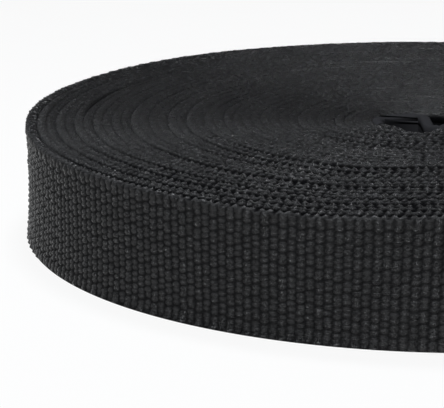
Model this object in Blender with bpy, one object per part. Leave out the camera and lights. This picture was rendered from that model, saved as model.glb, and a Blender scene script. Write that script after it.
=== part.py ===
"""Roll of polypropylene webbing, lying flat with its axis upright.

One strip, folded at its middle and wound double: two layers go round together, so each
interface between layers is a spiral that moves outward by two layers a turn. The bare
middle of the strip crosses the eye of the roll, and its two cut ends lie on the outside.
The solid is the wound form with the ridge of each pair of layers on its upper face.
"""

import math

import bmesh
import bpy
import numpy as np

# Driving dimensions, in metres.
WEBBING_WIDTH = 0.025
LAYER_PITCH = 0.0021
SPIRAL_START_RADIUS = 0.00475
LINE_COUNT = 40

# Place of the winding's axis, so that the outline stands centred over the origin.
ROLL_AXIS = (0.0, 0.00105)

# Columns round the roll, and the columns where a cut end or a first turn lies.
# Angles run from the front, -Y, towards +X.
COLUMNS = 72
OUTER_END_ANGLES = (40.0, 150.0)
FIRST_TURN_ANGLES = (30.0, 210.0)

# Unevenness of the winding.
PAIR_GROOVE_DEPTH = 0.0006
EYE_SHIFT = (-0.0015, -0.0030)
EYE_SQUASH = 0.16
EYE_SQUASH_REACH = 0.012
WALL_LEVELS = (0.0, 0.10, 0.28, 0.50, 0.74, 0.90, 1.0)
WALL_SWELL = (0.00050, 0.00020, 0.0, -0.00010, 0.0, 0.00040, 0.00085)

# Height of the upper edge over the nominal width, by place along the spiral.
# Columns: line number counted from the eye, rise in millimetres.
RISE_TABLE = (
    (0.0, -0.9),
    (3.0, -0.6),
    (6.0, -0.9),
    (9.0, -0.2),
    (12.0, -0.5),
    (15.0, 0.1),
    (18.0, -0.3),
    (21.0, 0.2),
    (24.0, -0.2),
    (27.0, 0.3),
    (30.0, -0.1),
    (33.0, 0.2),
    (36.0, -0.2),
    (39.0, 0.3),
    (42.0, 0.1),
)

# Rings on the underside: centre radius of each groove between the flat bands.
UNDERSIDE_GROOVES = (0.023, 0.036, 0.049, 0.062, 0.075)
UNDERSIDE_GROOVE_HALF_WIDTH = 0.0012
UNDERSIDE_GROOVE_DEPTH = 0.0005

# The stretch of strip that crosses the eye.
BRIDGE_ANGLE = 10.0
BRIDGE_THICKNESS = 0.0019
BRIDGE_TOP = 0.0236
BRIDGE_BOTTOM = 0.0004
BRIDGE_REACH = SPIRAL_START_RADIUS + 1.7 * LAYER_PITCH
BRIDGE_BEND = 0.0030
BRIDGE_BEND_ANGLE = 75.0
BRIDGE_BEND_STEPS = 6
BRIDGE_BITE = 0.0016

# A crease between faces at a wider angle than this shows as an edge.
SHARP_ANGLE = 25.0

WEBBING_COLOUR = (0.012, 0.012, 0.013, 1.0)
WEBBING_ROUGHNESS = 0.55


def clear_scene():
    """Remove every object, so that the script can be run again."""
    for obj in list(bpy.data.objects):
        bpy.data.objects.remove(obj, do_unlink=True)


def column_of(angle):
    """Nearest column to an angle in degrees."""
    return round(angle / 360.0 * COLUMNS)


def direction(angle):
    """Unit vector at an angle in degrees from the front, towards +X."""
    turn = math.radians(angle)
    return np.array((math.sin(turn), -math.cos(turn)))


def in_plan(radius, angle):
    """Place in plan of a radius on the roll: the eye lies off centre and is a little flat."""
    share = max(0.0, 1.0 - radius / 0.085)
    squash = 1.0 - EYE_SQUASH * math.exp(-((radius / EYE_SQUASH_REACH) ** 2))
    x, y = radius * direction(angle)
    x += ROLL_AXIS[0] + EYE_SHIFT[0] * share**2
    y = y * squash + ROLL_AXIS[1] + EYE_SHIFT[1] * share**2
    return x, y


def line_radius(column, line):
    """Radius of an interface between layers: it grows by two layers in each turn."""
    return SPIRAL_START_RADIUS + LAYER_PITCH * (line + 2.0 * column / COLUMNS)


def top_height(column, line):
    """Upper edge at an interface: the slow rise, less the groove between two pairs."""
    place = line + 2.0 * column / COLUMNS
    lines, rises = np.array(RISE_TABLE).T
    rise = 0.001 * float(np.interp(place, lines, rises))
    groove = PAIR_GROOVE_DEPTH if line % 2 else 0.0
    return WEBBING_WIDTH + rise - groove


def passed(column, angles):
    """How many of these angles lie at or before a column."""
    return sum(column >= column_of(angle) for angle in angles)


def layers_at(column):
    """Lines of the innermost and outermost interface in the cells after a column."""
    inner = 2 - passed(column, FIRST_TURN_ANGLES)
    outer = LINE_COUNT - passed(column, OUTER_END_ANGLES)
    return inner, outer


def wrapped(column, line):
    """The same point named in the first turn: past the seam a line is two further in."""
    return (0, line + 2) if column == COLUMNS else (column, line)


def plan_cells():
    """Quads of the wound layers in plan, as corners (column, line)."""
    cells = []
    for column in range(COLUMNS):
        inner, outer = layers_at(column)
        for line in range(inner, outer):
            cells.append((
                wrapped(column, line),
                wrapped(column, line + 1),
                wrapped(column + 1, line + 1),
                wrapped(column + 1, line),
            ))
    return cells


def rim_edges(cells):
    """Directed edges that belong to one cell only."""
    edges = set()
    for cell in cells:
        edges.update(zip(cell, cell[1:] + cell[:1]))
    return [edge for edge in edges if edge[::-1] not in edges]


def wall_point(corner, level, swell):
    """Point on the wall under a rim corner: the outer wall is hollow between its edges."""
    column, line = corner
    radius = line_radius(column, line)
    if line > LINE_COUNT / 2:
        radius += swell
    x, y = in_plan(radius, 360.0 * column / COLUMNS)
    return x, y, level * top_height(column, line)


def underside_rings():
    """Radius and height of each ring of points under the roll, from the eye outward."""
    rings = []
    for radius in UNDERSIDE_GROOVES:
        rings.append((radius - UNDERSIDE_GROOVE_HALF_WIDTH, 0.0))
        rings.append((radius, UNDERSIDE_GROOVE_DEPTH))
        rings.append((radius + UNDERSIDE_GROOVE_HALF_WIDTH, 0.0))
    return rings


def rim_corners(column, side):
    """Inner and outer rim corners of a column for the cells on one side of it."""
    source = column if side > 0 else column - 1
    inner, outer = layers_at(source)
    return wrapped(column, inner), wrapped(column, outer)


def extra_feet(column, side, feet):
    """Feet on a column's line that only the cells on its other side end at."""
    other_column = (column or COLUMNS) if side > 0 else column % COLUMNS
    inner, outer = rim_corners(column, side)
    other_inner, other_outer = rim_corners(other_column, -side)
    inside = [feet[other_inner]] if other_inner[1] > inner[1] else []
    outside = [feet[other_outer]] if other_outer[1] < outer[1] else []
    return inside, outside


def add_underside(mesh, feet):
    """Flat bands and shallow rings between the feet of the inner and outer walls."""
    rings = underside_rings()
    grid = []
    for column in range(COLUMNS):
        angle = 360.0 * column / COLUMNS
        grid.append([mesh.verts.new((*in_plan(r, angle), z)) for r, z in rings])
    for column in range(COLUMNS):
        ahead = column + 1
        here = grid[column]
        there = grid[ahead % COLUMNS]
        inner_a, outer_a = rim_corners(column, 1)
        inner_b, outer_b = rim_corners(ahead, -1)
        for k in range(len(rings) - 1):
            mesh.faces.new((here[k], there[k], there[k + 1], here[k + 1]))
        start = extra_feet(column, 1, feet)
        end = extra_feet(ahead, -1, feet)
        outer_face = [here[-1], there[-1], *end[1], feet[outer_b], feet[outer_a], *start[1]]
        inner_face = [here[0], *start[0], feet[inner_a], feet[inner_b], *end[0], there[0]]
        mesh.faces.new(outer_face)
        mesh.faces.new(inner_face)


def build_roll():
    """The wound form: ridged upper face, hollow outer wall, eye and banded underside."""
    mesh = bmesh.new()
    cells = plan_cells()
    rim = rim_edges(cells)
    on_rim = {corner for edge in rim for corner in edge}
    top = {}
    for corner in sorted({corner for cell in cells for corner in cell}):
        swell = WALL_SWELL[-1] if corner in on_rim else 0.0
        top[corner] = mesh.verts.new(wall_point(corner, WALL_LEVELS[-1], swell))
    for cell in cells:
        mesh.faces.new([top[corner] for corner in cell])
    columns = {}
    for corner in sorted(on_rim):
        lower = [
            mesh.verts.new(wall_point(corner, level, swell))
            for level, swell in zip(WALL_LEVELS[:-1], WALL_SWELL[:-1])
        ]
        columns[corner] = [*lower, top[corner]]
    for start, end in rim:
        for k in range(len(WALL_LEVELS) - 1):
            low_a, high_a = columns[start][k], columns[start][k + 1]
            low_b, high_b = columns[end][k], columns[end][k + 1]
            mesh.faces.new((high_b, high_a, low_a, low_b))
    add_underside(mesh, {corner: points[0] for corner, points in columns.items()})
    return finish_object(mesh, "webbing_roll")


def bridge_path():
    """Middle line of the strip across the eye, bent into the first turn at each end."""
    across = direction(BRIDGE_ANGLE)
    side = np.array((-across[1], across[0]))
    straight = BRIDGE_REACH - BRIDGE_BEND
    half = [straight * across]
    for step in range(1, BRIDGE_BEND_STEPS + 1):
        turn = math.radians(BRIDGE_BEND_ANGLE) * step / BRIDGE_BEND_STEPS
        shift = BRIDGE_BEND * (math.sin(turn) * across + (1.0 - math.cos(turn)) * side)
        half.append(straight * across + shift)
    tip = half[-1] - half[-2]
    half.append(half[-1] + BRIDGE_BITE * tip / np.linalg.norm(tip))
    other = [-point for point in reversed(half)]
    return np.array(other + half)


def build_bridge():
    """The stretch across the eye, as an upright strip that bites into the first turns."""
    path = bridge_path()
    tangent = np.gradient(path, axis=0)
    tangent /= np.linalg.norm(tangent, axis=1)[:, None]
    normal = np.stack((-tangent[:, 1], tangent[:, 0]), axis=1)
    centre = np.array(in_plan(0.0, 0.0))
    corners = ((-0.5, BRIDGE_BOTTOM), (0.5, BRIDGE_BOTTOM), (0.5, BRIDGE_TOP), (-0.5, BRIDGE_TOP))
    mesh = bmesh.new()
    loops = []
    for point, out in zip(path, normal):
        places = [centre + point + BRIDGE_THICKNESS * side * out for side, _ in corners]
        heights = [height for _, height in corners]
        loops.append([mesh.verts.new((*xy, z)) for xy, z in zip(places, heights)])
    for here, there in zip(loops, loops[1:]):
        for k, corner in enumerate(here):
            m = (k + 1) % len(here)
            mesh.faces.new((corner, here[m], there[m], there[k]))
    mesh.faces.new(loops[0])
    mesh.faces.new(loops[-1])
    return finish_object(mesh, "eye_bridge")


def finish_object(mesh, name):
    """Turn a bmesh into a scene object whose faces point out."""
    bmesh.ops.recalc_face_normals(mesh, faces=mesh.faces)
    data = bpy.data.meshes.new(name)
    mesh.to_mesh(data)
    mesh.free()
    data.shade_smooth()
    data.set_sharp_from_angle(angle=math.radians(SHARP_ANGLE))
    obj = bpy.data.objects.new(name, data)
    bpy.context.scene.collection.objects.link(obj)
    return obj


def webbing_material():
    """Black polypropylene yarn with a dull sheen."""
    material = bpy.data.materials.new("black_webbing")
    material.use_nodes = True
    shader = material.node_tree.nodes["Principled BSDF"]
    shader.inputs["Base Color"].default_value = WEBBING_COLOUR
    shader.inputs["Roughness"].default_value = WEBBING_ROUGHNESS
    shader.inputs["Metallic"].default_value = 0.0
    return material


def join_bridge(roll, bridge):
    """Fuse the stretch across the eye to the wound layers: they are one strip."""
    union = roll.modifiers.new("bridge", "BOOLEAN")
    union.operation = "UNION"
    union.solver = "EXACT"
    union.object = bridge
    bridge.hide_render = True
    bridge.display_type = "WIRE"


def main():
    clear_scene()
    roll = build_roll()
    join_bridge(roll, build_bridge())
    roll.data.materials.append(webbing_material())


main()
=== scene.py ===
"""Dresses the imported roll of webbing: the wound strip, its selvedges and the woven outer wraps."""

import logging
import math
from dataclasses import dataclass, field
from enum import Enum

import bpy
import numpy as np
from mathutils import Matrix, Vector


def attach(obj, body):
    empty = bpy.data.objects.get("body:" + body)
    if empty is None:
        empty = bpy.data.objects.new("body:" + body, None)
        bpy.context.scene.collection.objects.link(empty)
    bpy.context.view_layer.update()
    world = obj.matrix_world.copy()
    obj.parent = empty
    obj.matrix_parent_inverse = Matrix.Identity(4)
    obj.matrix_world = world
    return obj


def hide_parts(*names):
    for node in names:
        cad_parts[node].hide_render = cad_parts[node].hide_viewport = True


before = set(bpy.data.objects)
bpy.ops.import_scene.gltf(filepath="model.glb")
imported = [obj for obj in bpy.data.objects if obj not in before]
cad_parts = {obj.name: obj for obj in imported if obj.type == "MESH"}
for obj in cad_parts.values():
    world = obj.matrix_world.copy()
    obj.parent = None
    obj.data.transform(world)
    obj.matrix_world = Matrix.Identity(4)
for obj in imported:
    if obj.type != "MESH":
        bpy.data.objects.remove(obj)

LOG = logging.getLogger("webbing_roll")
MM = 0.001
FULL_TURN = 360.0
HALF_TURN = 180.0

# The outer wraps start this many degrees before the band inside them ends.
WRAP_LAP = 2.5

Pair = tuple[float, float]
Triple = tuple[float, float, float]
Colour = tuple[float, float, float, float]


class Arm(Enum):
    """The halves of the strip, which is folded at its middle and wound double. The value is a first level."""

    INNER = 0.5
    OUTER = 1.5


class Held(Enum):
    """How a sheet of cloth is held."""

    WOUND = "folded"


def from_front(angle: np.ndarray) -> np.ndarray:
    """The angle away from the roll's front, from 0 to 180 degrees."""
    return np.abs((angle + HALF_TURN) % FULL_TURN - HALF_TURN)


def smooth_step(low: float, high: float, value: np.ndarray) -> np.ndarray:
    """Rises from 0 at low to 1 at high along the curve 3t^2 - 2t^3.

    Args:
        low: where the rise starts.
        high: where it ends.
        value: the numbers to map.

    Returns:
        Shares from 0 to 1.
    """
    t = np.clip((value - low) / (high - low), 0.0, 1.0)
    return t * t * (3.0 - 2.0 * t)


def through(points: np.ndarray, steps: int) -> np.ndarray:
    """A smooth curve through the points: Catmull-Rom cubics, with the end points mirrored to close the ends.

    Args:
        points: the points to pass, in order.
        steps: samples for each span.

    Returns:
        The samples, without the two end points.
    """
    first = 2.0 * points[0] - points[1]
    last = 2.0 * points[-1] - points[-2]
    p = np.vstack([first, points, last])
    t = (np.arange(steps) / steps)[None, :, None]
    a, b, c, d = (p[k : len(p) - 3 + k][:, None, :] for k in range(4))
    curve = b + 0.5 * t * (c - a + t * (2 * a - 5 * b + 4 * c - d + t * (3 * (b - c) + d - a)))
    return curve.reshape(-1, points.shape[1])[1:]


@dataclass(frozen=True)
class Weave:
    """The warp-faced plain weave of the webbing, in millimetres, and in picks and ends on its face."""

    pick: float = 1.813
    ends: int = 40
    lean: float = 0.0306
    bump_reach: float = 0.47
    bump_spread: float = 0.94
    edge_spread: float = 1.25
    along_power: float = 2.2
    across_power: float = 1.9
    relief: float = 0.50
    low_column: float = 0.78
    group_pull: tuple[float, ...] = (0.20, 0.07, -0.07, -0.20)
    size_spread: float = 0.13
    drift_spread: float = 0.07
    drift_along: float = 0.6
    draws: tuple[int, int] = (512, 64)


@dataclass(frozen=True)
class RollShape:
    """Where the wound strip lies, in millimetres and degrees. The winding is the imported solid's own."""

    width: float = 25.0
    layer_pitch: float = 2.1
    start_radius: float = 4.75
    axis: Pair = (0.0, 1.05)
    eye_shift: Pair = (-1.5, -3.0)
    shift_reach: float = 85.0
    side_shift: float = -1.7
    eye_squash: float = 0.16
    squash_reach: float = 12.0
    turns: int = 19
    outer_end: float = 40.0
    inner_end: float = 150.0
    outer_start: float = 30.0
    inner_start: float = 255.0
    rise_levels: tuple[float, ...] = (0, 3, 6, 9, 12, 15, 18, 21, 24, 27, 30, 33, 36, 39, 42)
    rises: tuple[float, ...] = (
        -0.9, -0.6, -0.9, -0.2, -0.5, 0.1, -0.3, 0.2, -0.2, 0.3, -0.1, 0.2, -0.2, 0.3, 0.1,
    )
    rise_share: float = 0.28
    lift: float = 0.95
    lift_angle: float = 363.0
    lift_half_width: float = 19.0
    lift_levels: Pair = (14.0, 24.0)
    waves: tuple[Triple, ...] = ((0.10, 3.1, 0.4), (0.07, 7.3, 1.9))
    eye_dip: float = 1.2
    eye_dip_start: Pair = (1.95, 2.3)
    eye_dip_end: Pair = (2.9, 4.3)
    eye_dip_angles: Pair = (8.0, 35.0)
    swell_heights: tuple[float, ...] = (0.0, 0.10, 0.28, 0.50, 0.74, 0.90, 1.0)
    swells: tuple[float, ...] = (0.55, 0.2, 0.0, -0.1, 0.0, 0.2, 0.45)
    swell_levels: Pair = (34.0, 37.0)
    foot_angles: tuple[float, ...] = (0, 4, 20, 60, 290, 306, 320, 330, 346, 351, 354, 358, 360)
    foot_shifts: tuple[float, ...] = (
        0.3, 0.5, 0.2, 0.0, 0.0, -0.4, -0.9, -1.35, -1.45, -1.1, -0.7, -0.1, 0.3,
    )
    foot_reach: float = 0.75

    def level(self, arm: Arm, turn: np.ndarray) -> np.ndarray:
        """How many layer pitches the middle of a layer lies outside the start radius: two more each turn."""
        return arm.value + 2.0 * turn / FULL_TURN

    def radius(self, level: np.ndarray) -> np.ndarray:
        """The radius of a level: the start radius and a layer pitch for each level."""
        return self.start_radius + self.layer_pitch * level

    def place(self, x: np.ndarray, y: np.ndarray) -> tuple[np.ndarray, np.ndarray]:
        """Moves the rings near the eye off centre and flattens the eye from front to back.

        One shift grows with the square of the distance from the rim, the sideways one as 1 minus the square
        of the radius over the reach, and the flattening is a bell curve.

        Args:
            x: places across, measured from the roll's axis.
            y: places from front to back.

        Returns:
            The places in the row frame, in millimetres.
        """
        radius = np.hypot(x, y)
        share = np.clip(1.0 - radius / self.shift_reach, 0.0, None) ** 2
        aside = self.side_shift * np.clip(1.0 - (radius / self.shift_reach) ** 2, 0.0, None)
        squash = 1.0 - self.eye_squash * np.exp(-((radius / self.squash_reach) ** 2))
        across = x + self.axis[0] + self.eye_shift[0] * share + aside
        deep = y * squash + self.axis[1] + self.eye_shift[1] * share
        return across, deep

    def top(self, level: np.ndarray, angle: np.ndarray) -> np.ndarray:
        """The height of the upper selvedge.

        It is the width, the unevenness by level, a low lift at the front, two sine waves round the roll, and
        less the dip of the innermost layers at the front of the eye.

        Args:
            level: levels of the layer's middle.
            angle: the total angle there, in degrees.

        Returns:
            Heights in millimetres.
        """
        uneven = self.rise_share * np.interp(level, self.rise_levels, self.rises)
        lift = self.lift * (1.0 - smooth_step(0.0, self.lift_half_width, from_front(angle - self.lift_angle)))
        near = smooth_step(*self.eye_dip_start, level) * (1.0 - smooth_step(*self.eye_dip_end, level))
        sunk = self.eye_dip * near * (1.0 - smooth_step(*self.eye_dip_angles, from_front(angle)))
        turned = np.radians(angle)
        waves = sum(size * np.sin(turned * rate + start) for size, rate, start in self.waves)
        return self.width + uneven + lift * smooth_step(*self.lift_levels, level) + waves - sunk

    def swell(self, share: np.ndarray, level: np.ndarray, angle: np.ndarray) -> np.ndarray:
        """How far the outer layers bulge at a share of their height; nothing for the layers further in.

        Args:
            share: height as a share of the width.
            level: levels of the layer's middle.
            angle: the total angle there, in degrees.

        Returns:
            Distances outward in millimetres.
        """
        shift = np.interp(angle % FULL_TURN, self.foot_angles, self.foot_shifts)
        foot = shift * (1.0 - smooth_step(0.0, self.foot_reach, share))
        bulge = np.interp(share, self.swell_heights, self.swells) + foot
        return bulge * smooth_step(*self.swell_levels, level)


class StripPath:
    """The strip's middle line, from the inner arm's outer end through the eye to the outer arm's end."""

    EYE_POINTS = (
        (-6.4, 3.85), (-4.0, 4.85), (-1.4, 4.85), (0.45, 3.85), (1.25, 2.0), (1.75, 0.0),
        (2.0, -2.6), (2.2, -4.9), (2.5, -6.5), (3.1, -7.2),
    )
    EYE_STEPS = 12
    EYE_RISE = 0.6
    DEGREES = 1.0

    def __init__(self, shape: RollShape) -> None:
        """Works out the line.

        Args:
            shape: where the wound strip lies.
        """
        self.shape = shape
        last, half = shape.turns * FULL_TURN, self.DEGREES / 2
        inner = np.arange(last + shape.inner_end, shape.inner_start - half, -self.DEGREES)
        outer = np.arange(shape.outer_start, last + shape.outer_end + half, self.DEGREES)
        levels = [shape.level(Arm.INNER, inner), shape.level(Arm.OUTER, outer)]
        ends = [self.around(inner, levels[0]), self.around(outer, levels[1])]
        knots = np.vstack([ends[0][-2:], np.array(self.EYE_POINTS), ends[1][:2]])
        middle = through(knots, self.EYE_STEPS)[self.EYE_STEPS - 1 : 1 - self.EYE_STEPS]
        line = np.vstack([ends[0], middle, ends[1]])
        self.x, self.y = shape.place(line[:, 0], line[:, 1])
        count = len(middle)
        self.side = np.concatenate([-np.ones(len(inner)), np.linspace(-1, 1, count), np.ones(len(outer))])
        self.level = np.concatenate([levels[0], np.full(count, levels[0][-1]), levels[1]])
        self.turn = np.concatenate([inner, np.linspace(inner[-1], outer[0], count), outer])
        arch = self.EYE_RISE * np.sin(np.pi * (np.arange(count) + 0.5) / count)
        self.rise = np.concatenate([np.zeros(len(inner)), arch, np.zeros(len(outer))])
        along = np.concatenate([[0.0], np.cumsum(np.hypot(np.diff(self.x), np.diff(self.y)))])
        self.along = along - along[len(inner) + count // 2]
        tx, ty = np.gradient(self.x, self.along), np.gradient(self.y, self.along)
        size = np.hypot(tx, ty)
        self.nx, self.ny = ty / size, -tx / size
        self.inner_count = len(inner)

    def around(self, angle: np.ndarray, level: np.ndarray) -> np.ndarray:
        """Points on the spiral: radius times the sine and minus the cosine of the angle, from the front."""
        radius = self.shape.radius(level)
        a = np.radians(angle)
        return np.stack([radius * np.sin(a), -radius * np.cos(a)], axis=1)

    def at_turn(self, arm: Arm, turn: float) -> float:
        """Finds a place on one arm.

        Args:
            arm: the arm.
            turn: the total angle there.

        Returns:
            The length along the strip, in millimetres from the fold.
        """
        if arm is Arm.INNER:
            part = slice(self.inner_count - 1, None, -1)
        else:
            part = slice(len(self.turn) - int(self.turn[-1] - self.shape.outer_start) - 1, None)
        return float(np.interp(turn, self.turn[part], self.along[part]))

    def sample(self, along: np.ndarray) -> dict[str, np.ndarray]:
        """The line's place, right-hand normal, level, angle, rise and side at lengths along it.

        Args:
            along: lengths in millimetres from the fold.

        Returns:
            Arrays by name, in the shape of along.
        """
        names = ("x", "y", "nx", "ny", "level", "turn", "rise", "side")
        return {n: np.interp(along, self.along, getattr(self, n)) for n in names}

    @staticmethod
    def beside(there: dict[str, np.ndarray], reach: np.ndarray, height: np.ndarray) -> np.ndarray:
        """Points to the right of places on the line: the place and its normal times the reach.

        Args:
            there: the line's samples, one for each row or for each point.
            reach: distances to the right, rows by columns.
            height: heights, rows by columns.

        Returns:
            Rows by columns by three, in millimetres.
        """
        x, y, nx, ny = (there[n].reshape(len(there[n]), -1) for n in ("x", "y", "nx", "ny"))
        return np.stack(np.broadcast_arrays(x + nx * reach, y + ny * reach, height), axis=2)


def loop_mesh(name: str, points: np.ndarray, uv: np.ndarray, dome: np.ndarray) -> bpy.types.Object:
    """A closed tube from a grid of points: rows run along the strip, columns go once round its section.

    The quads join each point with the next along and the next round, and one flat face closes each end.

    Args:
        name: the piece's name.
        points: rows by columns by three, in millimetres, with columns counter-clockwise seen along the rows.
        uv: rows by columns + 1 by two, in millimetres.
        dome: rows by columns, the share of the weave's relief, which the material turns into sheen, painted
            shade in the hollows and painted light in the eye.

    Returns:
        The new object, at the origin.
    """
    rows, columns = points.shape[:2]
    index = np.arange(rows * columns).reshape(rows, columns)
    beside = np.roll(index, -1, axis=1)
    quads = np.stack([index[:-1], beside[:-1], beside[1:], index[1:]], axis=2).reshape(-1, 4)
    caps = np.concatenate([index[0][::-1], index[-1]])
    mesh = bpy.data.meshes.new(name)
    mesh.vertices.add(rows * columns)
    mesh.vertices.foreach_set("co", (points * MM).astype(np.float32).ravel())
    mesh.loops.add(quads.size + caps.size)
    mesh.loops.foreach_set("vertex_index", np.concatenate([quads.ravel(), caps]).astype(np.int32))
    mesh.polygons.add(len(quads) + 2)
    starts = np.concatenate([np.arange(len(quads)) * 4, quads.size + np.array([0, columns])])
    mesh.polygons.foreach_set("loop_start", starts.astype(np.int32))
    smooth = np.ones(len(quads) + 2, bool)
    smooth[-2:] = False
    mesh.polygons.foreach_set("use_smooth", smooth)
    grid_uv = np.stack([uv[:-1, :-1], uv[:-1, 1:], uv[1:, 1:], uv[1:, :-1]], axis=2).reshape(-1, 2)
    cap_uv = np.concatenate([uv[0, :-1][::-1], uv[-1, :-1]])
    layer = mesh.uv_layers.new(name="strip")
    layer.data.foreach_set("uv", np.concatenate([grid_uv, cap_uv]).astype(np.float32).ravel())
    mesh.update(calc_edges=True)
    attribute = mesh.attributes.new("dome", "FLOAT", "POINT")
    attribute.data.foreach_set("value", dome.astype(np.float32).ravel())
    mesh.validate()
    made = bpy.data.objects.new(name, mesh)
    bpy.context.scene.collection.objects.link(made)
    return made


@dataclass(frozen=True)
class Grooves:
    """How far the grooves between layers gape, 1 being wide open, as read off the photograph.

    Each row is one groove from the eye outward, at the angles given. The tight places are in turns."""

    angles: tuple[float, ...] = (36.0, 150.0, 190.0, 222.0, 255.0, 285.0, 312.0, 342.0, 360.0)
    open_rows: tuple[tuple[float, ...], ...] = (
        (0.2, 0.2, 0.2, 0.4, 0.6, 0.4, 0.3, 0.3, 0.3),
        (0.2, 0.1, 0.1, 0.1, 0.1, 0.2, 0.3, 0.3, 0.3),
        (0.2, 0.1, 0.1, 0.2, 0.3, 0.5, 0.7, 0.6, 0.5),
        (0.2, 0.1, 0.0, 0.0, 0.0, 0.1, 0.5, 0.6, 0.5),
        (0.3, 0.1, 0.0, 0.1, 0.3, 0.5, 0.9, 0.9, 0.8),
        (0.3, 0.1, 0.0, 0.0, 0.0, 0.0, 0.1, 0.3, 0.3),
        (0.2, 0.2, 0.1, 0.4, 0.3, 0.0, 0.0, 0.0, 0.0),
        (0.2, 0.2, 0.1, 0.0, 0.0, 0.0, 0.0, 0.0, 0.0),
        (0.4, 0.6, 0.8, 0.8, 0.5, 0.0, 0.0, 0.1, 0.1),
        (0.4, 0.1, 0.1, 0.0, 0.0, 0.5, 0.9, 1.4, 1.4),
        (0.3, 0.1, 0.2, 0.6, 0.9, 0.7, 0.9, 0.7, 0.6),
        (0.3, 0.1, 0.1, 0.4, 0.5, 0.6, 0.9, 0.8, 0.6),
        (0.3, 0.2, 0.1, 0.4, 0.3, 0.1, 0.1, 0.4, 0.6),
        (0.4, 0.2, 0.1, 0.2, 0.6, 0.8, 1.0, 1.0, 0.9),
        (0.4, 0.2, 0.1, 0.0, 0.0, 0.0, 0.1, 0.5, 0.7),
        (0.4, 0.2, 0.4, 0.5, 0.0, 0.6, 0.9, 0.9, 0.9),
        (0.4, 0.2, 0.1, 0.0, 0.0, 0.5, 0.9, 0.9, 0.8),
        (0.5, 0.2, 0.3, 0.6, 0.5, 0.6, 1.0, 1.0, 0.9),
        (0.5, 0.2, 0.1, 0.1, 0.6, 0.8, 0.9, 0.9, 0.8),
    )
    tight_places: tuple[float, ...] = (1.60, 1.66, 1.75, 1.80, 15.58, 15.64, 15.73, 15.78)
    tight_openings: tuple[float, ...] = (0.0, 0.35, 0.35, 0.0, 0.0, 0.8, 0.8, 0.0)

    def open_side(self, turn: np.ndarray) -> np.ndarray:
        """The opening of the groove on the strip's left side, where the fold's two arms part.

        Args:
            turn: the total angle, in degrees.

        Returns:
            Openings.
        """
        start = np.arange(len(self.open_rows))[:, None] * FULL_TURN
        places = (start + np.array(self.angles)[None, :]).ravel()
        return np.interp(turn, places, np.array(self.open_rows).ravel())

    def tight_side(self, turn: np.ndarray, side: np.ndarray) -> np.ndarray:
        """The opening of the groove on the strip's right side, nearly everywhere shut.

        Args:
            turn: the total angle, in degrees.
            side: -1 on the inner arm, whose groove there is the one of a turn before, and 1 on the outer arm.

        Returns:
            Openings.
        """
        whole = turn / FULL_TURN - np.where(side < 0.0, 1.0, 0.0)
        return np.interp(whole, self.tight_places, self.tight_openings)


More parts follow.
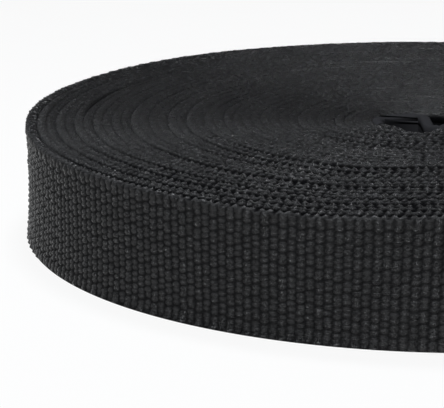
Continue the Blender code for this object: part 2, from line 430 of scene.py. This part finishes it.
@dataclass(frozen=True)
class Selvedge:
    """The finely shaped upper edge of the strip: a crown carried along it, which waves with the weave.

    A tuple of seven holds a value for each point of the crown's section, from left to right.
    """

    weave: Weave
    path: StripPath
    grooves: Grooves = Grooves()
    side_reach: float = 1.05
    shoulder_share: float = 0.62
    peak_place: float = 0.05
    peak_swing: float = 0.1
    wide_gap: float = 0.90
    plain_gap: float = 0.45
    hole_gap: float = 0.65
    tight_gap: float = 0.5
    side_push: float = 0.02
    hole_depth: float = 1.2
    hole_power: float = 0.8
    hole_mean: float = 0.80
    hole_spread: float = 0.22
    hole_limits: Pair = (0.1, 1.3)
    hole_openings: Pair = (0.12, 1.4)
    hole_shares: tuple[float, ...] = (0.0, 1.0, 0.85, 0.25, 0.05, 0.0, 0.0)
    ridge: float = 0.30
    ridge_half_width: float = 0.8
    ridge_swing: float = 0.42
    ridge_level: float = 0.12
    ridge_shares: tuple[float, ...] = (0.0, 0.6, 1.0, 1.0, 1.0, 0.7, 0.0)
    loop: float = 0.28
    loop_spread: float = 0.07
    flat_section: tuple[float, ...] = (-1.45, -0.03, -0.01, 0.0, -0.01, -0.03, -1.45)
    rounded_section: tuple[float, ...] = (-1.45, -0.26, -0.08, -0.03, -0.06, -0.18, -1.45)
    left_drop: tuple[float, ...] = (0.0, 0.36, 0.14, 0.02, 0.0, 0.0, 0.0)
    right_drop: tuple[float, ...] = (0.0, 0.0, 0.0, 0.02, 0.14, 0.36, 0.0)
    calm_drop: float = 0.20
    calm_angles: Pair = (40.0, 82.0)
    calm_rough: float = 0.25
    # on the calm sides and back the crown's share is lifted, so less shade is painted there
    calm_sheen_less_shade: float = 0.76
    # the crown's share of sheen, and below it painted shade in the holes and grooves
    sheen_shade_offset: float = 0.17
    sheen_shade_rise: float = 0.30
    deepest_shade_share: float = -0.6
    crown_floor: float = -1.0
    lean_start: Pair = (-19.0, -9.0)
    lean_end: Pair = (-6.0, -1.5)
    lean_out: tuple[float, ...] = (0.0, 0.0, 0.0, 0.0, 0.4, 0.55, 0.65)
    lean_down: tuple[float, ...] = (0.0, 0.0, 0.0, 0.05, 0.35, 1.0, 0.6)
    seed: int = 7

    def calm(self, turn: np.ndarray) -> np.ndarray:
        """How far the edge is pressed smooth: 0 at the front of the roll, 1 at its sides and back."""
        return smooth_step(*self.calm_angles, from_front(turn))

    def leaning(self, along: np.ndarray) -> np.ndarray:
        """How far the strip leans into the eye: 1 on a stretch before the fold, where the near face shows."""
        return smooth_step(*self.lean_start, along) * (1.0 - smooth_step(*self.lean_end, along))

    def sheen_shade_share(self, tops: np.ndarray, turn: np.ndarray) -> np.ndarray:
        """The share of sheen at points of the crown: less the lower they lie, and least in the hollows, where
        it falls below 0 and shade is painted. On the calm sides and back the share is lifted, so less shade
        is painted in the grooves there.

        Args:
            tops: heights over the selvedge's height, rows by points.
            turn: the total angle of each row.

        Returns:
            Shares up to 1, negative in the hollows, which are painted as shade.
        """
        # painted shade: the share sinks with the height and falls below 0 in the hollows
        share = np.clip((tops + self.sheen_shade_offset) / self.sheen_shade_rise, self.deepest_shade_share, 1.0)
        smoothed = self.calm_sheen_less_shade * self.calm(turn)[:, None] * (tops > self.crown_floor)
        return share + (1.0 - share) * smoothed

    def jitter(self, pick: np.ndarray) -> tuple[np.ndarray, ...]:
        """The uneven part of each pick: four rows of random numbers, blended from pick to pick.

        Args:
            pick: places along the strip, counted in picks.

        Returns:
            The hole's depth, the loop's height, the side's push and the loop's fraying.
        """
        random = np.random.default_rng(self.seed)
        span = int(np.ceil(np.abs(self.path.along).max() / self.weave.pick)) + 2
        rows = random.normal(0.0, 1.0, (4, 2 * span + 1))
        at = np.arange(-span, span + 1)
        return tuple(np.interp(pick, at, row) for row in rows)

    def across(self, along: np.ndarray) -> tuple[np.ndarray, np.ndarray]:
        """The crown's section at each length: seven points from the gap side over the top to the tight side.

        The top end swings from side to side as the cosine of half the pick angle, and each weft loop lifts
        the crown at half picks. At whole picks the side towards the groove draws back and down, every second
        time further.

        Args:
            along: lengths from the fold, in millimetres.

        Returns:
            Places across the strip (positive to the right) and heights over the selvedge's height.
        """
        there = self.path.sample(along)
        pick = along / self.weave.pick
        rough = 1.0 - (1.0 - self.calm_rough) * self.calm(there["turn"])
        swing = np.cos(np.pi * pick)
        beat = 0.5 + 0.5 * np.cos(2.0 * np.pi * pick)
        depth, height, push, fray = self.jitter(pick)
        uneven = self.hole_mean + self.hole_spread * swing + self.hole_spread * depth
        hole = beat**self.hole_power * np.clip(uneven, *self.hole_limits) * rough
        opened = self.grooves.open_side(there["turn"])
        tight = self.grooves.tight_side(there["turn"], there["side"])
        plain = self.plain_gap * (rough - self.calm_rough) / (1.0 - self.calm_rough)
        left = -self.side_reach + self.wide_gap * opened * (plain + self.hole_gap * hole)
        right = self.side_reach - self.wide_gap * tight * self.tight_gap + self.side_push * push
        inset, peak = self.shoulder_share, self.peak_place + self.peak_swing * swing
        spots = np.stack([left, left, left * inset, peak, right * inset, right, right], axis=-1)
        middle = self.ridge_swing * swing * rough
        aside = (spots - middle[..., None]) / self.ridge_half_width
        ridge = self.ridge * np.sqrt(np.clip(1.0 - aside**2, 0.0, 1.0))
        flat, rounded = np.array(self.flat_section), np.array(self.rounded_section)
        base = flat + (rounded - flat) * rough[..., None]
        drop = np.array(self.left_drop) * opened[..., None]
        drop = drop + np.array(self.right_drop) * tight[..., None]
        drop = drop * (1.0 + self.calm_drop - self.calm_drop * rough)[..., None]
        wide = np.clip(opened, *self.hole_openings)
        dips = self.hole_depth * (wide * hole)[..., None] * np.array(self.hole_shares)
        leaning = self.leaning(along)[..., None]
        spots = spots + leaning * np.array(self.lean_out)
        dips = dips + leaning * np.array(self.lean_down)
        wave = self.loop * (0.5 - beat) + self.loop_spread * height + self.loop_spread * fray * beat
        raised = np.array(self.ridge_shares) * ((ridge - self.ridge_level) + wave[..., None])
        return spots, base - dips - drop + raised * rough[..., None]


@dataclass
class WoundStrip:
    """The strip inside the outer wraps: a closed band through both arms and the eye, and its selvedge crowns.

    The band's section has ten points, from the right foot up and over to the left foot. At the height called
    shut it is wide enough to close the grooves.
    """

    path: StripPath
    selvedge: Selvedge
    step: int = 4
    end_margin: float = 1.0
    lap: float = 1.0
    right_side: float = 0.93
    left_side: float = -0.80
    foot_share: float = 0.5
    foot_height: float = 0.5
    shut_right: float = 1.09
    shut_left: float = 1.53
    shut_height: float = 12.0
    tuck: float = 1.0
    bevel: float = 0.6
    bevel_share: float = 0.6
    lean_shares: tuple[float, ...] = (0.0, 0.1, 0.3, 0.62, 0.62, 0.0, 0.0, 0.0, 0.0, 0.0)
    lengths_round: tuple[float, ...] = (0.0, 0.5, 12.0, 22.9, 23.5, 25.1, 25.7, 36.6, 48.1, 48.6, 49.6)
    fine_reach: float = 40.0
    bare_reach: Pair = (19.0, 19.6)
    # painted shade: the band, which shows only down in the grooves, gets a share below 0 and is painted as a
    # dark hollow
    band_dome: float = -0.3
    # painted light in the eye: shares towards -2 are painted lighter, as light falling into the eye; the
    # upper crown gets all of it, the lower crown and the band less, painted as shade deeper in the eye
    eye_band_painted_light: float = 1.1
    eye_top_painted_light: float = -2.0
    eye_foot_painted_light: float = -1.4
    bare_foot: float = -1.6
    crown_depth: float = 2.3
    crown_foot_share: float = 0.9
    crown_length_round: float = 7.5
    samples_per_pick: int = 4
    crown_pieces: int = 3
    pieces: list[bpy.types.Object] = field(default_factory=list)

    def limits(self) -> Pair:
        """The lengths where the band goes under the outer wraps, at the inner and at the outer arm."""
        turns = self.path.shape.turns * FULL_TURN
        low = self.path.at_turn(Arm.INNER, turns + self.path.shape.outer_end - self.lap)
        high = self.path.at_turn(Arm.OUTER, turns - FULL_TURN + self.path.shape.inner_end - self.lap)
        return low, high

    def bare(self, along: np.ndarray) -> np.ndarray:
        """How far the strip lies bare in the eye: 1 within the reach of the fold, 0 in the winding."""
        return 1.0 - smooth_step(*self.bare_reach, np.abs(along))

    def top(self, there: dict[str, np.ndarray]) -> np.ndarray:
        """The selvedge's height at samples of the path, with the crossing's rise in the eye."""
        return self.path.shape.top(there["level"], there["turn"]) + there["rise"]

    def band(self) -> bpy.types.Object:
        """The plain band. Its section is a flat loop of ten points, carried along the path.

        Returns:
            The band's object.
        """
        low, high = self.limits()
        full = self.path.along
        keep = (np.arange(len(full)) % self.step == 0) | (np.abs(full) < self.fine_reach)
        between = (full > low + self.end_margin) & (full < high - self.end_margin)
        along = np.concatenate([[low], full[keep & between], [high]])
        there = self.path.sample(along)
        across = np.array([
            self.foot_share, 1.0, self.shut_right, 1.0, self.bevel_share,
            self.bevel_share, 1.0, self.shut_left, 1.0, self.foot_share,
        ])
        reach = np.array([self.right_side] * 5 + [self.left_side] * 5) * across
        reach = reach + self.selvedge.leaning(along)[:, None] * np.array(self.lean_shares)
        edge = self.top(there) - self.tuck
        ground = np.zeros_like(edge)
        rising = [ground, ground + self.foot_height, ground + self.shut_height, edge - self.bevel, edge]
        points = self.path.beside(there, reach, np.stack(rising + rising[::-1], axis=1))
        v = np.array(self.lengths_round)
        uv = np.stack(np.broadcast_arrays(along[:, None], v[None, :]), axis=2)
        # painted shade on the band, and dimmer painted light on it in the eye
        dome = self.band_dome - self.eye_band_painted_light * self.bare(along)[:, None]
        return loop_mesh("wound_strip", points, uv, np.broadcast_to(dome, points.shape[:2]))

    def crown(self, name: str, low: float, high: float) -> bpy.types.Object:
        """One length of the selvedge crown: its seven points over the top, and two below inside the band.

        Args:
            name: the piece's name.
            low: where it starts along the strip, in millimetres.
            high: where it ends.

        Returns:
            The crown's object.
        """
        pick = self.selvedge.weave.pick
        first = math.ceil(low / pick * self.samples_per_pick)
        last = math.floor(high / pick * self.samples_per_pick)
        along = np.arange(first, last + 1) * pick / self.samples_per_pick
        there = self.path.sample(along)
        spots, tops = self.selvedge.across(along)
        low_spots = spots[:, [6, 0]] * self.crown_foot_share
        low_tops = np.full_like(low_spots, -self.crown_depth)
        spots = np.concatenate([spots, low_spots], axis=1)[:, ::-1]
        tops = np.concatenate([tops, low_tops], axis=1)[:, ::-1]
        points = self.path.beside(there, spots, self.top(there)[:, None] + tops)
        v = np.linspace(0.0, self.crown_length_round, points.shape[1] + 1)
        uv = np.stack(np.broadcast_arrays(along[:, None], v[None, :]), axis=2)
        dome = self.selvedge.sheen_shade_share(tops, there["turn"])
        # painted light on the crown in the eye: full above the foot height, dimmer below it
        eye_light_share = np.where(tops > self.bare_foot, self.eye_top_painted_light, self.eye_foot_painted_light)
        dome = dome + (eye_light_share - dome) * self.bare(along)[:, None]
        return loop_mesh(name, points, uv, dome)

    def build(self) -> None:
        """Makes the band and its crowns."""
        self.pieces = [self.band()]
        bounds = np.linspace(*self.limits(), self.crown_pieces + 1)
        for k in range(self.crown_pieces):
            self.pieces.append(self.crown(f"selvedge_{k + 1}", bounds[k], bounds[k + 1]))

    def dress(self, material: bpy.types.Material) -> None:
        """Args:
            material: the webbing's finish.
        """
        low, high = self.limits()
        for piece in self.pieces:
            piece.data.materials.append(material)
            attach(piece, "root")
        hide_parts("webbing_roll")


@dataclass
class OuterWrap:
    """An exposed outer stretch of one arm, with the weave's bumps on its outer face."""

    name: str
    arm: Arm
    low_turn: float
    high_turn: float
    path: StripPath
    selvedge: Selvedge
    phase_parts: tuple[float, ...] = (-0.5, -0.36, -0.12, 0.12, 0.36)
    rows_per_end: int = 2
    face_reach: float = 0.55
    face_start: float = 0.15
    face_inset: float = 0.45
    # painted shade: the top rows of the outer face get a lower share and are painted darker
    painted_shade_rows: Pair = (37.0, 39.0)
    painted_shade_share: float = 0.35
    edge_row: float = 0.6
    edge_fall: float = 0.2
    # the crown's outer side: sheen on the floats of the last row and painted shade between them, and an even
    # share on the calm sides and back
    weave_rim_sheen_and_shade: float = 0.6
    calm_edge_sheen_and_shade: float = 0.55
    inner_reaches: tuple[float, ...] = (-0.85, -0.85, -0.85)
    inner_heights: tuple[float, ...] = (0.4, 12.0, 23.6)
    foot_reaches: tuple[float, ...] = (1.05, 0.55, -0.5)
    foot_heights: tuple[float, ...] = (0.12, 0.0, 0.0)
    seed: int = 21
    made: bpy.types.Object | None = None

    @property
    def outward(self) -> float:
        """1 where the strip's right side faces out, which is on the outer arm, and -1 on the inner arm."""
        return 1.0 if self.arm is Arm.OUTER else -1.0

    def ends(self) -> Pair:
        """The lengths along the strip where the wrap starts and ends."""
        low, high = sorted(self.path.at_turn(self.arm, t) for t in (self.low_turn, self.high_turn))
        return low, high

    def phases(self, low: float, high: float) -> np.ndarray:
        """Lengths along the strip: five in each pick, closer together at the gap between two columns."""
        pick = self.selvedge.weave.pick
        whole = np.arange(math.ceil(low / pick), math.floor(high / pick))
        return ((whole[:, None] + np.array(self.phase_parts)[None, :]) * pick).ravel()

    def relief(self, pick: np.ndarray, end: np.ndarray) -> np.ndarray:
        """The height share of the weave at a place counted in picks and ends.

        Each float is a squarish dome, the root of 1 less a power of the distance along and a power of the
        distance across. It lies where pick and end numbers are both even or both odd, ends are drawn
        together in fours, and each float has its own size.

        Args:
            pick: places along, counted in picks.
            end: places across, counted in ends from the bottom.

        Returns:
            Shares from 0, the bottom of a gap, to about 1.
        """
        weave = self.selvedge.weave
        random = np.random.default_rng(self.seed)
        column = np.floor(pick + 0.5).astype(int)
        best = np.zeros(np.broadcast(pick, end).shape)
        size = random.normal(1.0, weave.size_spread, weave.draws)
        drift = random.normal(0.0, weave.drift_spread, (2, *weave.draws))
        pull = np.array(weave.group_pull)
        nearest = np.floor(end).astype(int)
        for offset in (-1, 0, 1):
            k = nearest + offset
            shown = (k + column) % 2 == 0
            a, b = column % weave.draws[0], np.clip(k, 0, weave.ends - 1) % weave.draws[1]
            centre = k + 0.5 + pull[k % 4] + drift[1, a, b]
            edge_row = (k >= weave.ends - 2) | (k <= 1)
            reach = np.where(edge_row, weave.edge_spread, weave.bump_spread)
            du = np.abs(pick - column - drift[0, a, b] * weave.drift_along) / weave.bump_reach
            dv = np.abs(end - centre) / reach
            left_over = 1.0 - du**weave.along_power - dv**weave.across_power
            dome = np.sqrt(np.clip(left_over, 0.0, 1.0)) * size[a, b]
            dome = dome * np.where(column % 2 == 0, 1.0, weave.low_column)
            best = np.maximum(best, np.where(shown, dome, 0.0))
        return best

    def plain(self, there: dict[str, np.ndarray], reaches: tuple, heights: tuple) -> np.ndarray:
        """Lines of plain points along the strip.

        Args:
            there: the path's samples.
            reaches: the lines' distances outward.
            heights: their heights.

        Returns:
            Rows by lines by three.
        """
        return self.path.beside(there, self.outward * np.array(reaches)[None, :], np.array(heights)[None, :])

    def edge(
        self, along: np.ndarray, there: dict[str, np.ndarray], top: np.ndarray
    ) -> tuple[np.ndarray, np.ndarray]:
        """The wrap's upper edge: the selvedge crown, whose outer side follows the weave's last row.

        Args:
            along: lengths along the strip.
            there: the path's samples at those lengths.
            top: the selvedge's heights.

        Returns:
            Points over the edge, and their shares of sheen and painted shade.
        """
        weave, shape = self.selvedge.weave, self.path.shape
        crown = self.path.sample(along + self.outward * weave.lean * (shape.width / 2))
        spots, tops = self.selvedge.across(along)
        if self.outward < 0:
            spots, tops = spots[:, ::-1], tops[:, ::-1]
        spots, tops = spots[:, 1:6], tops[:, 1:6]
        outer = np.clip(self.outward * spots, 0.0, 1.0) ** 2
        bump = self.relief(along / weave.pick, np.full(len(along), weave.ends - self.edge_row))[:, None]
        swell = shape.swell(np.array([[1.0]]), crown["level"][:, None], crown["turn"][:, None])
        spots = spots + self.outward * outer * (swell - weave.relief * (1.0 - bump))
        tops = tops - self.edge_fall * outer * (1.0 - bump)
        dome = self.selvedge.sheen_shade_share(tops, there["turn"])
        calm = self.selvedge.calm(there["turn"])[:, None]
        # painted shade between the floats of the last row, where the share falls
        rim = self.weave_rim_sheen_and_shade * bump * (1.0 - calm) + self.calm_edge_sheen_and_shade * calm
        return self.path.beside(crown, spots, top[:, None] + tops), dome + outer * (rim - dome)

    def face(self, along: np.ndarray, top: np.ndarray) -> tuple[np.ndarray, np.ndarray]:
        """The wrap's outer face: the weave's bumps on the layer, whose columns lean a little.

        Args:
            along: lengths along the strip.
            top: the selvedge's heights.

        Returns:
            Points from the top row down, and their shares of sheen, lower between the floats and on the top
            rows, where shade is painted.
        """
        weave, shape = self.selvedge.weave, self.path.shape
        rows = np.arange(weave.ends * self.rows_per_end - 2, 0, -1) / self.rows_per_end
        share = (rows / weave.ends)[None, :]
        z = self.face_start + (top[:, None] - self.face_inset) * share
        there = self.path.sample(along[:, None] + self.outward * weave.lean * (z - shape.width / 2))
        bump = self.relief(along[:, None] / weave.pick, np.broadcast_to(rows, z.shape))
        swell = shape.swell(share, there["level"], there["turn"])
        reach = self.outward * (self.face_reach + weave.relief * bump + swell)
        # painted shade between the floats, and on the top rows
        dome = bump * (1.0 - self.painted_shade_share * smooth_step(*self.painted_shade_rows, rows))
        return self.path.beside(there, reach, z), dome

    def build(self) -> None:
        """Makes the wrap: a closed section of inner face, edge, woven outer face and foot, along the path."""
        along = self.phases(*self.ends())
        there = self.path.sample(along)
        top = self.path.shape.top(there["level"], there["turn"])
        inner = self.plain(there, self.inner_reaches, self.inner_heights)
        over, over_dome = self.edge(along, there, top)
        outer, outer_dome = self.face(along, top)
        foot = self.plain(there, self.foot_reaches, self.foot_heights)
        points = np.concatenate([inner, over, outer, foot], axis=1)
        hidden = np.zeros((len(along), len(self.inner_reaches)))
        below = np.zeros((len(along), len(self.foot_reaches)))
        dome = np.concatenate([hidden, over_dome, outer_dome, below], axis=1)
        mean = points.mean(axis=0)
        round_steps = np.linalg.norm(np.diff(mean, axis=0, append=mean[:1]), axis=1)
        v = np.concatenate([[0.0], np.cumsum(round_steps)])
        uv = np.stack(np.broadcast_arrays(along[:, None], v[None, :]), axis=2)
        if self.outward > 0:
            points, uv, dome = points[:, ::-1], uv[:, ::-1], dome[:, ::-1]
        self.made = loop_mesh(self.name, points, uv, dome)

    def dress(self, material: bpy.types.Material) -> None:
        """Args:
            material: the webbing's finish.
        """
        low, high = self.ends()
        self.made.data.materials.append(material)
        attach(self.made, "root")


class Term:
    """A shader socket that takes part in sums, so that an expression on values adds its Math nodes."""

    def __init__(self, graph: "Graph", socket: bpy.types.NodeSocket) -> None:
        """Keeps the socket and the graph it belongs to.

        Args:
            graph: the material's graph.
            socket: an output socket.
        """
        self.graph = graph
        self.socket = socket

    def __add__(self, other: "Term | float") -> "Term":
        """The sum."""
        return self.graph.math("ADD", self, other)

    def __radd__(self, other: float) -> "Term":
        """The sum, with a number first."""
        return self.graph.math("ADD", other, self)

    def __sub__(self, other: "Term | float") -> "Term":
        """The difference."""
        return self.graph.math("SUBTRACT", self, other)

    def __rsub__(self, other: float) -> "Term":
        """The difference, with a number first."""
        return self.graph.math("SUBTRACT", other, self)

    def __mul__(self, other: "Term | float") -> "Term":
        """The product."""
        return self.graph.math("MULTIPLY", self, other)

    def __rmul__(self, other: float) -> "Term":
        """The product, with a number first."""
        return self.graph.math("MULTIPLY", other, self)


class Graph:
    """The node tree of one material."""

    def __init__(self, name: str) -> None:
        """Starts an empty material.

        Args:
            name: the material's name.
        """
        self.material = bpy.data.materials.new(name)
        self.material.use_nodes = True
        self.tree = self.material.node_tree
        self.tree.nodes.clear()

    def node(
        self, kind: str, settings: dict[str, object] | None = None, values: dict | None = None
    ) -> bpy.types.Node:
        """Adds a node.

        Args:
            kind: the node's type.
            settings: its own settings, which are set first.
            values: numbers or links of its input sockets, by name or number.

        Returns:
            The node.
        """
        made = self.tree.nodes.new(kind)
        for key, value in (settings or {}).items():
            setattr(made, key, value)
        for key, value in (values or {}).items():
            if isinstance(value, Term):
                self.tree.links.new(value.socket, made.inputs[key])
            elif isinstance(value, bpy.types.NodeSocket):
                self.tree.links.new(value, made.inputs[key])
            else:
                made.inputs[key].default_value = value
        return made

    def mix(self, share: Term, first: Colour, second: Colour) -> bpy.types.NodeSocket:
        """A Mix node on two colours.

        Args:
            share: how much of the second colour shows.
            first: the colour at 0.
            second: the colour at 1.

        Returns:
            The mixed colour's socket.
        """
        return self.node("ShaderNodeMix", {"data_type": "RGBA"}, {0: share, 6: first, 7: second}).outputs[2]

    def math(self, operation: str, *terms: "Term | float") -> Term:
        """A Math node on values.

        Args:
            operation: its operation.
            terms: its inputs in order.

        Returns:
            Its result.
        """
        made = self.node("ShaderNodeMath", {"operation": operation}, dict(enumerate(terms)))
        return Term(self, made.outputs[0])

    def finish(self, surface: bpy.types.NodeSocket) -> bpy.types.Material:
        """Joins the surface to the output.

        Args:
            surface: the shader's output socket.

        Returns:
            The material.
        """
        self.node("ShaderNodeOutputMaterial", values={"Surface": surface})
        return self.material


@dataclass(frozen=True)
class WebbingFinish:
    """Black polypropylene yarn: a plastic sheen on the raised floats, painted shade in the hollows and
    painted light in the eye.

    The point attribute dome says which: above 0 the share of sheen, with the base colour painted darker as
    shade the lower it is; below 0 a hollow, painted as shade in a dark colour without reflection; and from -1
    to -2 the strip in the eye, painted lighter towards -2 as light falling into the eye. Patterns follow the
    strip's own coordinates, in millimetres along it and round it.
    """

    # the base colour runs from dark to light: painted shade by the dome share, and random patches and grain
    # in the yarn's tone
    dark: Colour = (0.0006, 0.0006, 0.0007, 1.0)
    light: Colour = (0.0050, 0.0051, 0.0057, 1.0)
    # painted shade: the dark colour of the hollows, standing in for the shade in the yarn's crevices and gaps
    painted_pit_shade: Colour = (0.0025, 0.0025, 0.0028, 1.0)
    # painted light: a lighter matt colour for the strip inside the eye, standing in for light falling into it
    painted_eye_light: Colour = (0.0145, 0.0145, 0.0157, 1.0)
    # painted shade: the base colour darkens as the dome share falls
    painted_shade_tone: float = 0.75
    tone_patch: float = 0.3
    tone_grain: float = 0.5
    tone_drop: float = 0.35
    rough_low: float = 0.19
    rough_high: float = 0.62
    rough_least: float = 0.15
    rough_grain: float = 0.2
    rough_more: float = 0.25
    rough_spark: float = 0.7
    specular: float = 0.33
    pit_rough: float = 0.9
    filament_scale: Triple = (0.55, 9.0, 1.0)
    grain_scale: Triple = (2.4, 4.4, 1.0)
    patch_scale: float = 0.35
    spark_scale: float = 0.9
    noise_detail: float = 2.0
    filament_share: float = 0.5
    bump_strength: float = 0.9
    bump_depth: float = 0.00029
    pit_grain: float = 0.3
    pit_range: Pair = (-0.25, 0.85)

    def noise(self, graph: Graph, place: bpy.types.NodeSocket, scale: float) -> Term:
        """A smooth noise of two dimensions, from 0 to 1.

        Args:
            graph: the material's graph.
            place: the coordinates.
            scale: how many cells a unit holds.

        Returns:
            The noise's value.
        """
        values = {"Vector": place, "Scale": scale, "Detail": self.noise_detail}
        made = graph.node("ShaderNodeTexNoise", {"noise_dimensions": "2D"}, values)
        return Term(graph, made.outputs[0])

    def sheen(self, graph: Graph, dome: Term, grain: Term, uv: bpy.types.NodeSocket) -> bpy.types.NodeSocket:
        """The yarn's surface: fine filaments, a roughness that falls towards the top of each float, and a
        base colour painted darker as shade where the dome share is low.

        Args:
            graph: the material's graph.
            dome: the share of sheen.
            grain: the fine noise.
            uv: the strip's coordinates.

        Returns:
            The shader's socket.
        """
        drawn = graph.node("ShaderNodeMapping", values={"Vector": uv, "Scale": self.filament_scale})
        filament = self.noise(graph, drawn.outputs[0], 1.0)
        patch = self.noise(graph, uv, self.patch_scale)
        spark = self.noise(graph, uv, self.spark_scale)
        # painted shade from the dome share, with random patches and grain in the yarn's tone
        tone = dome * self.painted_shade_tone + patch * self.tone_patch + grain * self.tone_grain - self.tone_drop
        rough = self.rough_high - (self.rough_high - self.rough_low) * dome
        rough = rough + grain * self.rough_grain + self.rough_more - spark * self.rough_spark
        height = filament * self.filament_share + grain
        bump = graph.node(
            "ShaderNodeBump",
            values={"Strength": self.bump_strength, "Distance": self.bump_depth, "Height": height},
        )
        shader = graph.node(
            "ShaderNodeBsdfPrincipled",
            values={
                "Base Color": graph.mix(tone, self.dark, self.light),
                "Roughness": graph.math("MAXIMUM", rough, self.rough_least),
                "Normal": bump.outputs[0],
                "Specular IOR Level": self.specular,
            },
        )
        return shader.outputs[0]

    def material(self) -> bpy.types.Material:
        """Builds the material from the piece's own strip coordinates.

        Returns:
            The material.
        """
        graph = Graph("black_webbing")
        uv = graph.node("ShaderNodeUVMap", {"uv_map": "strip"}).outputs[0]
        fine = graph.node("ShaderNodeMapping", values={"Vector": uv, "Scale": self.grain_scale})
        grain = self.noise(graph, fine.outputs[0], 1.0)
        # the dome share: sheen and painted shade above -1, painted light in the eye from -1 to -2
        dome = Term(graph, graph.node("ShaderNodeAttribute", {"attribute_name": "dome"}).outputs["Fac"])
        sheen = self.sheen(graph, dome, grain, uv)
        # from painted shade in the pits to painted light in the eye, as the dome share falls from -1 to -2
        deep = graph.mix(0.0 - dome - 1.0, self.painted_pit_shade, self.painted_eye_light)
        # painted shade: a dark matt shader without reflection in the hollows, where there is only shade; in
        # the eye it carries the painted light
        hollow = graph.node(
            "ShaderNodeBsdfPrincipled",
            values={"Base Color": deep, "Roughness": self.pit_rough, "Specular IOR Level": 0.0},
        ).outputs[0]
        # how far the sheen shows over the painted shade of the hollows, rising with the dome share
        low, high = self.pit_range
        raised = graph.node(
            "ShaderNodeMapRange",
            {"interpolation_type": "SMOOTHSTEP"},
            {"Value": dome + grain * self.pit_grain, 1: low, 2: high, 3: 0.0, 4: 1.0},
        ).outputs[0]
        mixed = graph.node("ShaderNodeMixShader", values={0: raised, 1: hollow, 2: sheen}).outputs[0]
        return graph.finish(mixed)


@dataclass(frozen=True)
class FloorFinish:
    """A matt white table with a soft glow, which keeps it near white under the dim lamps."""

    colour: Colour = (0.05, 0.05, 0.05, 1.0)
    glow_colour: Colour = (1.0, 1.0, 1.0, 1.0)
    glow: float = 0.886
    rough: float = 0.9

    def material(self) -> bpy.types.Material:
        """Builds the matt white material.

        Returns:
            The material.
        """
        graph = Graph("white_table")
        shader = graph.node(
            "ShaderNodeBsdfPrincipled",
            values={
                "Base Color": self.colour,
                "Roughness": self.rough,
                "Specular IOR Level": 0.0,
                "Emission Color": self.glow_colour,
                "Emission Strength": self.glow,
            },
        ).outputs[0]
        return graph.finish(shader)


@dataclass(frozen=True)
class Lamp:
    """A square soft lamp that faces the roll, in metres and watts."""

    name: str
    place: Triple
    size: float
    power: float
    colour: Triple = (0.93, 0.96, 1.0)

    def build(self) -> None:
        """Makes the lamp and points its own -Z at the roll's middle."""
        light = bpy.data.lights.new(self.name, "AREA")
        light.shape = "SQUARE"
        light.size = self.size
        light.energy = self.power
        light.color = self.colour
        made = bpy.data.objects.new(self.name, light)
        bpy.context.scene.collection.objects.link(made)
        facing = (-Vector(self.place)).to_track_quat("-Z", "Y").to_matrix().to_4x4()
        made.matrix_world = Matrix.Translation(self.place) @ facing


@dataclass
class Studio:
    """The table, the soft light and the camera. The camera's place is in millimetres."""

    table_half: float = 3.0
    lens: float = 194.74
    sensor: float = 36.0
    clip: Pair = (0.01, 20.0)
    camera_place: Triple = (0.0, -511.08, 138.68)
    right: Triple = (0.996006, 0.0892807, 0.000913)
    up: Triple = (-0.0234658, 0.2518879, 0.9674719)
    forward: Triple = (-0.0861466, 0.9636293, -0.2529769)
    surround: Colour = (1.0, 1.0, 1.0, 1.0)
    surround_strength: float = 0.046
    lamps: tuple[Lamp, ...] = (
        Lamp("key_lamp", (-0.25, -0.85, 0.78), 0.10, 17.0),
        Lamp("top_lamp", (-0.04, 0.06, 0.45), 0.10, 2.4),
        Lamp("back_lamp", (-1.0, 0.75, 0.50), 0.9, 3.0),
    )

    def table(self) -> None:
        """A large flat sheet at the roll's underside."""
        h = self.table_half
        mesh = bpy.data.meshes.new("table_top")
        mesh.from_pydata([(-h, -h, 0), (h, -h, 0), (h, h, 0), (-h, h, 0)], [], [(0, 1, 2, 3)])
        made = bpy.data.objects.new("table_top", mesh)
        bpy.context.scene.collection.objects.link(made)
        made.data.materials.append(FloorFinish().material())

    def camera(self) -> None:
        """The camera at the photograph's place and angle."""
        data = bpy.data.cameras.new("camera")
        data.lens = self.lens
        data.sensor_width = self.sensor
        data.clip_start, data.clip_end = self.clip
        made = bpy.data.objects.new("camera", data)
        bpy.context.scene.collection.objects.link(made)
        back = tuple(-c for c in self.forward)
        rows = [[self.right[k], self.up[k], back[k], self.camera_place[k] * MM] for k in range(3)]
        made.matrix_world = Matrix(rows + [[0.0, 0.0, 0.0, 1.0]])
        bpy.context.scene.camera = made

    def build(self) -> None:
        """Sets up the surround, the table, the lamps and the camera."""
        scene = bpy.context.scene
        scene.view_settings.view_transform = "Standard"
        world = bpy.data.worlds.new("studio")
        world.use_nodes = True
        background = world.node_tree.nodes["Background"]
        background.inputs[0].default_value = self.surround
        background.inputs[1].default_value = self.surround_strength
        scene.world = world
        self.table()
        for lamp in self.lamps:
            lamp.build()
        self.camera()


def main() -> None:
    """Builds the pieces of the roll in order and reports each."""
    logging.basicConfig(level=logging.INFO)
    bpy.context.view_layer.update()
    Studio().build()
    shape = RollShape()
    path = StripPath(shape)
    selvedge = Selvedge(Weave(), path)
    material = WebbingFinish().material()
    strip = WoundStrip(path, selvedge)
    strip.build()
    strip.dress(material)
    turns = shape.turns * FULL_TURN
    outer_end, inner_end = turns + shape.outer_end, turns + shape.inner_end
    wraps = [
        OuterWrap("outer_wrap", Arm.OUTER, inner_end - FULL_TURN - WRAP_LAP, outer_end, path, selvedge),
        OuterWrap("inner_arm_wrap", Arm.INNER, outer_end - WRAP_LAP, inner_end, path, selvedge),
    ]
    for wrap in wraps:
        wrap.build()
        wrap.dress(material)
    for piece in strip.pieces + [wrap.made for wrap in wraps]:
        LOG.info("%s: %d faces", piece.name, len(piece.data.polygons))


if __name__ == "__main__":
    main()
